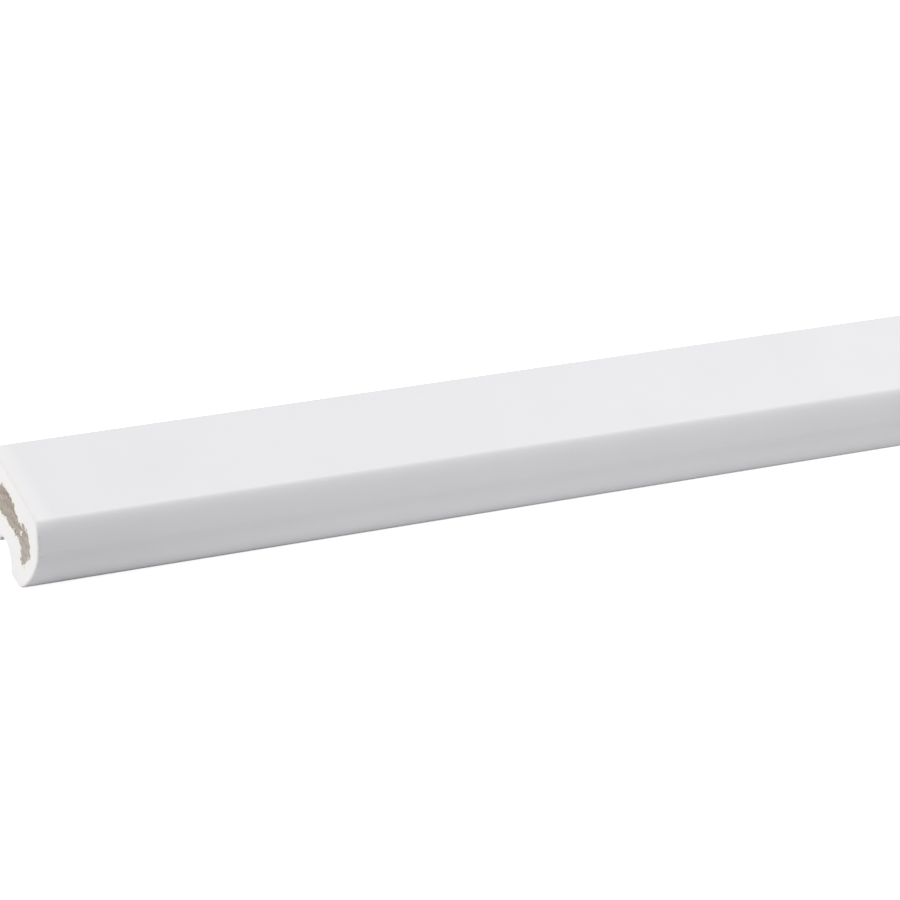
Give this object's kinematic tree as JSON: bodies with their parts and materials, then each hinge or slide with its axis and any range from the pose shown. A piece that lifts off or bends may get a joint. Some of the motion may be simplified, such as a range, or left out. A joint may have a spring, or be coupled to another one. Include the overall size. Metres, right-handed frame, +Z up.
{
  "type": "glazing bead",
  "caption": "Straight primed timber glazing bead with a broad top that falls slightly to the front, a rounded hanging nose, a half-round drip groove and a narrow seat.",
  "frame": {"origin": "centre of the bounding box's underside, on the plane of the nose's foot", "axes": "+X along the bead, +Y from the front towards the glass, +Z up, towards the flat top"},
  "size_m": [0.165, 0.0242, 0.017],
  "materials": {
    "primed_timber": "white factory primer, low sheen; the sawn end is wiped with primer round its edge and bare end grain shows in the middle"
  },
  "bodies": {
    "root": {"glazing_bead": "primed_timber"}
  },
  "joints": []
}
